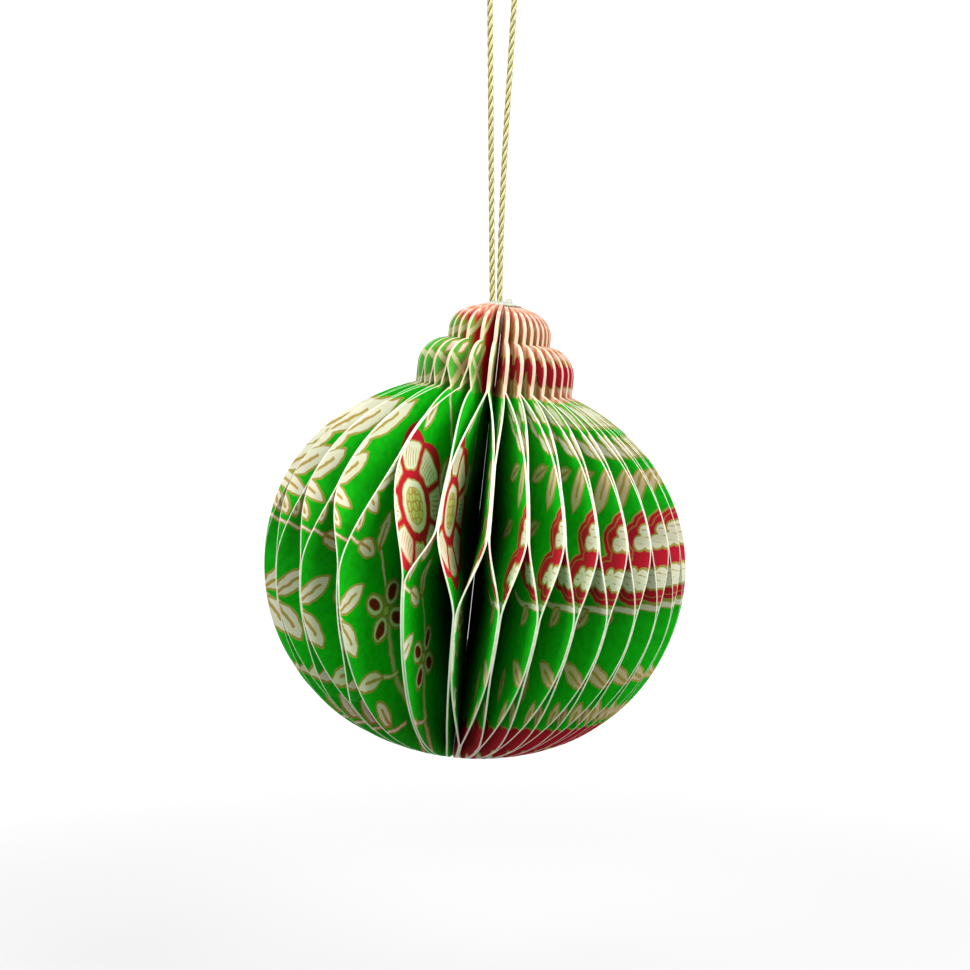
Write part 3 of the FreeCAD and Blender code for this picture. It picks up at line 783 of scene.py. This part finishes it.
def paint_back_cap(wiring, inks, point):
    """The cap on the back of a sheet: a rust knob over a peach tier with a crimson band."""
    across, up, _ = wiring.split(point)
    slant = wiring.fade(wiring.streaks(point, slope=0.3, step=0.95), 0.3, 0.6)
    sheet = wiring.mix(slant, inks.peach, inks.blush)
    band = wiring.discs(point, CAP_BAND)
    sheet = wiring.paint(sheet, band, inks.ochre, LINES["cap band"], inks.crimson)
    knob = wiring.math("SUBTRACT", KNOB_START, up)
    sheet = wiring.paint(sheet, knob, inks.ochre, LINES["cap band"], inks.rust)
    streak = wiring.fade(wiring.streaks(point, slope=-0.25, step=0.8), 0.5, 0.7)
    streak = wiring.math("MULTIPLY", streak, wiring.fade(up, *KNOB_STREAKS_START))
    sheet = wiring.mix(wiring.math("MULTIPLY", streak, 0.7), sheet, inks.blush)
    sheet = wiring.mix(wiring.fade(across, *BACK_CAP_CRIMSON), sheet, inks.crimson)
    return wiring.mix(wiring.fade(up, *BACK_CROWN_START), sheet, inks.salmon)


def lay_out(wiring, stance):
    """A sheet's place on the bauble's leaning axis, in mm: the spot, the way out from the axis,
    the distance from it, and which side of the sheet it is, from 1 in front to -1 behind.
    """
    upright = (0, -stance.lean, 0)
    off = Euler(upright).to_matrix() @ (Vector(stance.widest) / -MM)
    place = wiring.add("ShaderNodeTexCoord", {}).outputs
    spot = wiring.turned(place["Object"], "POINT", off, upright, 1 / MM)
    facing = wiring.turned(place["Normal"], "VECTOR", None, upright)
    level = wiring.vector("MULTIPLY", spot, (1, 1, 0))
    out = wiring.vector("NORMALIZE", level)
    round_axis = wiring.vector("CROSS_PRODUCT", (0, 0, 1), out)
    side = wiring.vector("DOT_PRODUCT", round_axis, facing)
    return spot, out, wiring.vector("LENGTH", level), side


def paint_cut_edge(wiring, inks, radius, in_cap, printed):
    """A cut edge: pale paper with a little of the print's colour painted on as light bounced from
    the neighbouring sheets, and with more near the axis as painted shade.
    """
    # Painted bounce light, and nearer the axis painted shade: a share of the print's colour over
    # the pale paper.
    painted_bounce_and_shade = wiring.fade(radius, *CUT_EDGE_SHADE_REACH)
    painted_bounce_and_shade = wiring.math("MULTIPLY_ADD", painted_bounce_and_shade, CUT_EDGE_PAINTED_SHADE, CUT_EDGE_PAINTED_BOUNCE)
    core = wiring.mix(wiring.math("MULTIPLY", in_cap, 0.5), inks.core, inks.blush)
    return wiring.mix(painted_bounce_and_shade, core, printed)


def make_print_group(stance, inks):
    """Both sides of a printed sheet and its cut edge: its colour, with painted shade deep in the
    cells, its tooth and its sheen.
    """
    make_leaf_group()
    make_stroke_group()
    make_petal_group()
    make_blossom_group()
    wiring, given, result = new_group(
        "printed_sheet",
        {"Shift": "Vector"},
        {"Colour": "Color", "Tooth": "Float", "Sheen": "Float"},
    )
    spot, out, radius, side = lay_out(wiring, stance)
    on_sheet = wiring.join(radius, wiring.split(spot)[2])
    register = wiring.wander(out, scale=2.3, detail=1.0, width=1.6)
    hand = wiring.wander(on_sheet, scale=0.45, detail=2.0, width=0.9)
    drawn = wiring.vector("ADD", wiring.vector("ADD", on_sheet, register), hand)
    drawn = wiring.vector("MULTIPLY", drawn, (1, 1, 0))
    shifted = wiring.vector("SUBTRACT", drawn, given["Shift"])

    mottle = wiring.noise(spot, scale=0.8, detail=4.0)["Fac"]
    ground = wiring.mix(wiring.fade(mottle, 0.35, 0.75), inks.green, inks.deep_green)
    in_cap = wiring.fade(wiring.split(drawn)[1], *CAP_START)
    front = paint_front(wiring, inks, shifted, ground)
    front = wiring.mix(in_cap, front, paint_front_cap(wiring, inks, drawn, ground))
    back = paint_back(wiring, inks, drawn, ground)
    back = wiring.mix(in_cap, back, paint_back_cap(wiring, inks, drawn))
    sheet = wiring.mix(wiring.math("GREATER_THAN", side, 0.0), back, front)

    edge = paint_cut_edge(wiring, inks, radius, in_cap, wiring.mix(0.5, front, back))
    cut = wiring.math("LESS_THAN", wiring.math("ABSOLUTE", side), CUT_EDGE_FACING)
    sheet = wiring.mix(cut, sheet, edge)

    # Painted shade: the print darkens from the rim in towards the axis, deep in the cells, but not
    # on the cap.
    reach = wiring.vector("LENGTH", wiring.vector("DIVIDE", on_sheet, (*BALL_HALVES, 1)))
    clear = wiring.math("MAXIMUM", wiring.fade(reach, *DEEP_PAINTED_SHADE_REACH), in_cap)
    clear = wiring.math("MULTIPLY_ADD", clear, 1 - DEEP_PAINTED_SHADE, DEEP_PAINTED_SHADE)
    tooth = wiring.noise(spot, scale=5.5, detail=3.0)["Fac"]
    value = wiring.math("MULTIPLY", wiring.spread(tooth, 0.93, 1.05), clear)
    sheet = wiring.add("ShaderNodeHueSaturation", {"Color": sheet, "Value": value}).outputs[0]
    finish_group(wiring, result, colour=sheet, tooth=tooth, sheen=wiring.spread(mottle, 0.6, 0.82))


def new_material(name):
    """An empty node material: its wiring, and its shader's inputs."""
    material = bpy.data.materials.new(name)
    material.use_nodes = True
    tree = material.node_tree
    return material, Wiring(tree), tree.nodes["Principled BSDF"].inputs


def printed_paper(name, shift):
    """Printed paper, whose print lies shifted on the sheet by (radius, height) millimetres."""
    material, wiring, shader = new_material(name)
    sheet = wiring.use("printed_sheet", shift=(*shift, 0))
    wiring.feed(shader, {
        "Base Color": sheet["Colour"],
        "Roughness": sheet["Sheen"],
        "Specular IOR Level": 0.2,
        "Normal": wiring.bump(sheet["Tooth"], strength=0.35, depth=0.03 * MM),
    })
    return material


class LeavesOperator(bpy.types.Operator):
    """Print the leaves: a vine on one side, a bloom on the other, and pale cut edges"""

    bl_idname = "bauble.leaves"
    bl_label = "Printed leaves"

    def execute(self, context):
        make_print_group(context.scene.bauble_stance, context.scene.bauble_inks)
        papers = {name: printed_paper(name, shift) for name, shift in PAPERS.items()}
        for leaf in LEAVES:
            paper = papers[SHIFTED.get(leaf, "printed_paper")]
            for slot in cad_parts[leaf].material_slots:
                slot.material = paper
        return {"FINISHED"}


class GlueOperator(bpy.types.Operator):
    """Give the dab of glue on the crown its milky look"""

    bl_idname = "bauble.glue"
    bl_label = "Glue"

    def execute(self, context):
        glue = context.scene.bauble_glue
        material, wiring, shader = new_material("dried_glue")
        cloud = wiring.noise(wiring.place(), scale=900.0, detail=3.0)["Fac"]
        wiring.feed(shader, {
            "Base Color": wiring.mix(wiring.fade(cloud, 0.3, 0.7), glue.milk, glue.clear),
            "Roughness": wiring.spread(cloud, 0.2, 0.42),
            "Transmission Weight": 0.6,
            "Normal": wiring.bump(cloud, strength=0.5, depth=0.1 * MM),
        })
        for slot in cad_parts["glue_dab"].material_slots:
            slot.material = material
        return {"FINISHED"}


class CameraOperator(bpy.types.Operator):
    """Place the camera in front of the bauble, a little above it"""

    bl_idname = "bauble.camera"
    bl_label = "Camera"

    def execute(self, context):
        stance, aim = context.scene.bauble_stance, context.scene.bauble_camera
        target = Vector(stance.widest) + Vector(aim.look)
        place = Vector(stance.widest) + Vector((aim.look[0], -aim.distance, aim.above))
        data = bpy.data.cameras.new("camera")
        camera = bpy.data.objects.new("camera", data)
        context.scene.collection.objects.link(camera)
        camera.location = place
        camera.rotation_euler = (target - place).to_track_quat("-Z", "Y").to_euler()
        data.angle = 2 * math.atan(aim.field / 2 / (target - place).length)
        context.scene.camera = camera
        return {"FINISHED"}


def route_points(name, route, bends):
    """Points along the smooth spline that a route of (across, up) millimetres steers."""
    curve = bpy.data.curves.new(name, "CURVE")
    curve.dimensions = "3D"
    curve.resolution_u = bends
    spline = curve.splines.new("NURBS")
    spline.points.add(len(route) - 1)
    for point, (across, up) in zip(spline.points, route):
        point.co = (across * MM, 0, up * MM, 1)
    spline.order_u = 3
    spline.use_endpoint_u = True
    holder = bpy.data.objects.new(name, curve)
    mesh = bpy.data.meshes.new_from_object(holder)
    points = [vertex.co.copy() for vertex in mesh.vertices]
    bpy.data.objects.remove(holder)
    bpy.data.curves.remove(curve)
    bpy.data.meshes.remove(mesh)
    return points


def even_steps(points, step):
    """The same line in equal steps: each step's point, and how far along it lies."""
    lengths = [0.0]
    for one, other in zip(points, points[1:]):
        lengths.append(lengths[-1] + (other - one).length)
    count = round(lengths[-1] / step)
    found, index = [], 0
    for number in range(count + 1):
        along = lengths[-1] * number / count
        while index < len(points) - 2 and lengths[index + 1] < along:
            index += 1
        share = (along - lengths[index]) / (lengths[index + 1] - lengths[index])
        found.append((points[index].lerp(points[index + 1], share), along))
    return found


def heading(points, index):
    """The way that a line of points runs at one of them, and the way across it in the loop."""
    ahead = points[min(index + 1, len(points) - 1)] - points[max(index - 1, 0)]
    return ahead, ahead.cross(LOOP_FACING).normalized()


def strand_lines(line, size, offset):
    """The middle lines of the strands, which turn once round the cord's line in every lay."""
    centres = [point for point, _ in line]
    lines = []
    for number in range(size.strands):
        helix = []
        for index, (point, along) in enumerate(line):
            _, across = heading(centres, index)
            turn = math.tau * (number / size.strands - along / size.lay)
            out = math.cos(turn) * across + math.sin(turn) * LOOP_FACING
            helix.append(point + offset * out)
        lines.append(helix)
    return lines


def tube_mesh(name, lines, radius, sides):
    """A mesh of round tubes along lines of points, each with closed ends."""
    vertices, faces = [], []
    for line in lines:
        first = len(vertices)
        for index, point in enumerate(line):
            ahead, across = heading(line, index)
            through = ahead.cross(across).normalized()
            for side in range(sides):
                turn = math.tau * side / sides
                out = math.cos(turn) * across + math.sin(turn) * through
                vertices.append(point + radius * out)
        for ring in range(len(line) - 1):
            start = first + ring * sides
            for side in range(sides):
                one, other = start + side, start + (side + 1) % sides
                faces.append((one, other, other + sides, one + sides))
        last = len(vertices) - sides
        faces.append(tuple(range(first + sides - 1, first - 1, -1)))
        faces.append(tuple(range(last, last + sides)))
    mesh = bpy.data.meshes.new(name)
    mesh.from_pydata(vertices, [], faces)
    mesh.shade_smooth()
    mesh.update()
    return mesh


def twisted_thread(size):
    """Pale gold thread, with painted shade between its fine fibres and in the grooves between the
    strands.
    """
    material, wiring, shader = new_material("gold_thread")
    fibre = wiring.turned(wiring.place(), "POINT", (0, 0, 0), (0, FIBRE_LEAN, 0), 1 / MM)
    fibre = wiring.vector("MULTIPLY", fibre, FIBRES_IN_A_MM)
    fibre = wiring.noise(fibre, scale=1.0, detail=3.0)["Fac"]
    # Painted shade between the fine fibres: the shaded thread colour in the gaps of the fibre
    # noise.
    gold = wiring.mix(wiring.fade(fibre, 0.30, 0.58), size.shaded, size.thread)
    outward = wiring.add("ShaderNodeAttribute", {}, attribute_name="outward").outputs["Fac"]
    # Painted shade in the grooves between the strands, where the surface lies nearer the cord's
    # middle line.
    gold = wiring.mix(wiring.fade(outward, *GROOVE_SHADE_REACH), gold, size.painted_groove_shade)
    wiring.feed(shader, {
        "Base Color": gold,
        "Roughness": wiring.spread(fibre, 0.5, 0.34),
        "Metallic": 0.35,
        "Normal": wiring.bump(fibre, strength=0.6, depth=0.04 * MM),
    })
    return material


class CordOperator(bpy.types.Operator):
    """Twist the cord's strands along its loop"""

    bl_idname = "bauble.cord"
    bl_label = "Hanging cord"

    def execute(self, context):
        size = context.scene.bauble_cord
        route = route_points("cord_line", CORD_ROUTE, ROUTE_BENDS)
        line = even_steps(route, size.lay / STEPS_IN_A_LAY)
        centres = [point for point, _ in line]
        spread = math.sin(math.pi / size.strands)
        strand = size.diameter / 2 * spread / (1 + spread) * (1 + size.pressed)
        lines = strand_lines(line, size, size.diameter / 2 - strand)
        mesh = tube_mesh("twisted_cord", lines, strand, STRAND_SIDES)
        outward = mesh.attributes.new("outward", "FLOAT", "POINT")
        for index, vertex in enumerate(mesh.vertices):
            centre = centres[index // STRAND_SIDES % len(centres)]
            outward.data[index].value = (vertex.co - centre).length / (size.diameter / 2)
        cord = bpy.data.objects.new("twisted_cord", mesh)
        context.scene.collection.objects.link(cord)
        mesh.materials.append(twisted_thread(size))
        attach(cord, "root")
        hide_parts("hanging_cord")
        return {"FINISHED"}


def studio_paper(studio):
    """Matt paper that glows only where it is seen directly, and more away from the bauble."""
    material, wiring, shader = new_material("studio_paper")
    place = wiring.place()
    grain = wiring.noise(place, scale=60.0, detail=4.0)["Fac"]
    away = wiring.vector("LENGTH", wiring.vector("MULTIPLY", place, (1, 1, 0)))
    near = studio.floor_lift
    glow = wiring.math("MULTIPLY_ADD", wiring.fade(away, *GLOW_REACH), 1 - near, near)
    wiring.feed(shader, {
        "Base Color": studio.floor_colour,
        "Roughness": wiring.spread(grain, 0.85, 0.95),
        "Specular IOR Level": 0.1,
        "Emission Color": WHITE,
        "Emission Strength": wiring.math("MULTIPLY", seen_directly(wiring), glow),
    })
    return material


class StageOperator(bpy.types.Operator):
    """Set the pale floor, its backdrop and the soft studio lights"""

    bl_idname = "bauble.stage"
    bl_label = "Studio"

    def execute(self, context):
        scene = context.scene
        studio = scene.bauble_studio
        scene.view_settings.view_transform = "Standard"
        self.lay_floor(studio)
        for name, (turn, rise, across, power) in LAMPS.items():
            self.hang_lamp(scene, name, turn, rise, across, power)
        world = bpy.data.worlds.new("studio")
        scene.world = world
        world.use_nodes = True
        wiring = Wiring(world.node_tree)
        dim = studio.daylight
        strength = wiring.math("MULTIPLY_ADD", seen_directly(wiring), 1 - dim, dim)
        background = world.node_tree.nodes["Background"].inputs
        wiring.feed(background, {"Color": WHITE, "Strength": strength})
        return {"FINISHED"}

    def lay_floor(self, studio):
        """A sheet on the floor that sweeps up behind the bauble."""
        level, back = -studio.floor_drop, studio.floor_width / 2
        bpy.ops.mesh.primitive_plane_add(size=studio.floor_width, location=(0, 0, level))
        floor = bpy.context.object
        floor.name = floor.data.name = "studio_floor"
        bpy.ops.object.transform_apply(location=True, rotation=False, scale=False)
        bpy.ops.object.mode_set(mode="EDIT")
        self.select_edges(floor, lambda middle: middle.y > back - MM)
        rise = {"value": (0, 0, studio.wall_height)}
        bpy.ops.mesh.extrude_region_move(TRANSFORM_OT_translate=rise)
        self.select_edges(floor, lambda middle: middle.y > back - MM and middle.z < level + MM)
        bpy.ops.mesh.bevel(offset=studio.sweep, segments=SWEEP_STEPS)
        bpy.ops.object.mode_set(mode="OBJECT")
        bpy.ops.object.shade_smooth()
        floor.select_set(False)
        floor.data.materials.append(studio_paper(studio))

    def select_edges(self, floor, wanted):
        """Select only the edges that run square to the Y axis and whose middle is wanted."""
        bpy.ops.mesh.select_all(action="DESELECT")
        bpy.ops.mesh.select_mode(type="EDGE")
        shape = bmesh.from_edit_mesh(floor.data)
        for edge in shape.edges:
            middle = (edge.verts[0].co + edge.verts[1].co) / 2
            if edge.verts[0].co.y == edge.verts[1].co.y and wanted(middle):
                edge.select_set(True)
        bmesh.update_edit_mesh(floor.data)

    def hang_lamp(self, scene, name, turn, rise, across, power):
        """A square soft light that faces the ball's middle."""
        middle = Vector(scene.bauble_stance.widest)
        away = Vector((
            math.sin(turn) * math.cos(rise), -math.cos(turn) * math.cos(rise), math.sin(rise)
        ))
        light = bpy.data.lights.new(name, "AREA")
        light.size, light.energy = across, power
        lamp = bpy.data.objects.new(name, light)
        scene.collection.objects.link(lamp)
        lamp.location = middle + scene.bauble_studio.lamp_distance * away
        lamp.rotation_euler = (-away).to_track_quat("-Z", "Y").to_euler()


class BaublePanel(bpy.types.Panel):
    """The bauble's steps, in the order they are made"""

    bl_idname = "VIEW3D_PT_bauble"
    bl_label = "Honeycomb Bauble"
    bl_space_type = "VIEW_3D"
    bl_region_type = "UI"
    bl_category = "Bauble"

    def draw(self, context):
        for step in STEPS:
            self.layout.operator(step.bl_idname)


STEPS = (CameraOperator, LeavesOperator, GlueOperator, CordOperator, StageOperator)
SETTINGS = {
    "bauble_stance": BaubleStance,
    "bauble_camera": BaubleCamera,
    "bauble_cord": CordTwist,
    "bauble_inks": PrintInks,
    "bauble_glue": DriedGlue,
    "bauble_studio": Studio,
}


def register():
    for kind in (*SETTINGS.values(), *STEPS, BaublePanel):
        bpy.utils.register_class(kind)
    for name, kind in SETTINGS.items():
        setattr(bpy.types.Scene, name, PointerProperty(type=kind))


def unregister():
    for name in SETTINGS:
        delattr(bpy.types.Scene, name)
    for kind in reversed((*SETTINGS.values(), *STEPS, BaublePanel)):
        bpy.utils.unregister_class(kind)


def main():
    register()
    for item in bpy.context.selected_objects:
        item.select_set(False)
    bpy.ops.bauble.camera()
    bpy.ops.bauble.leaves()
    bpy.ops.bauble.glue()
    bpy.ops.bauble.cord()
    bpy.ops.bauble.stage()


if __name__ == "__main__":
    main()
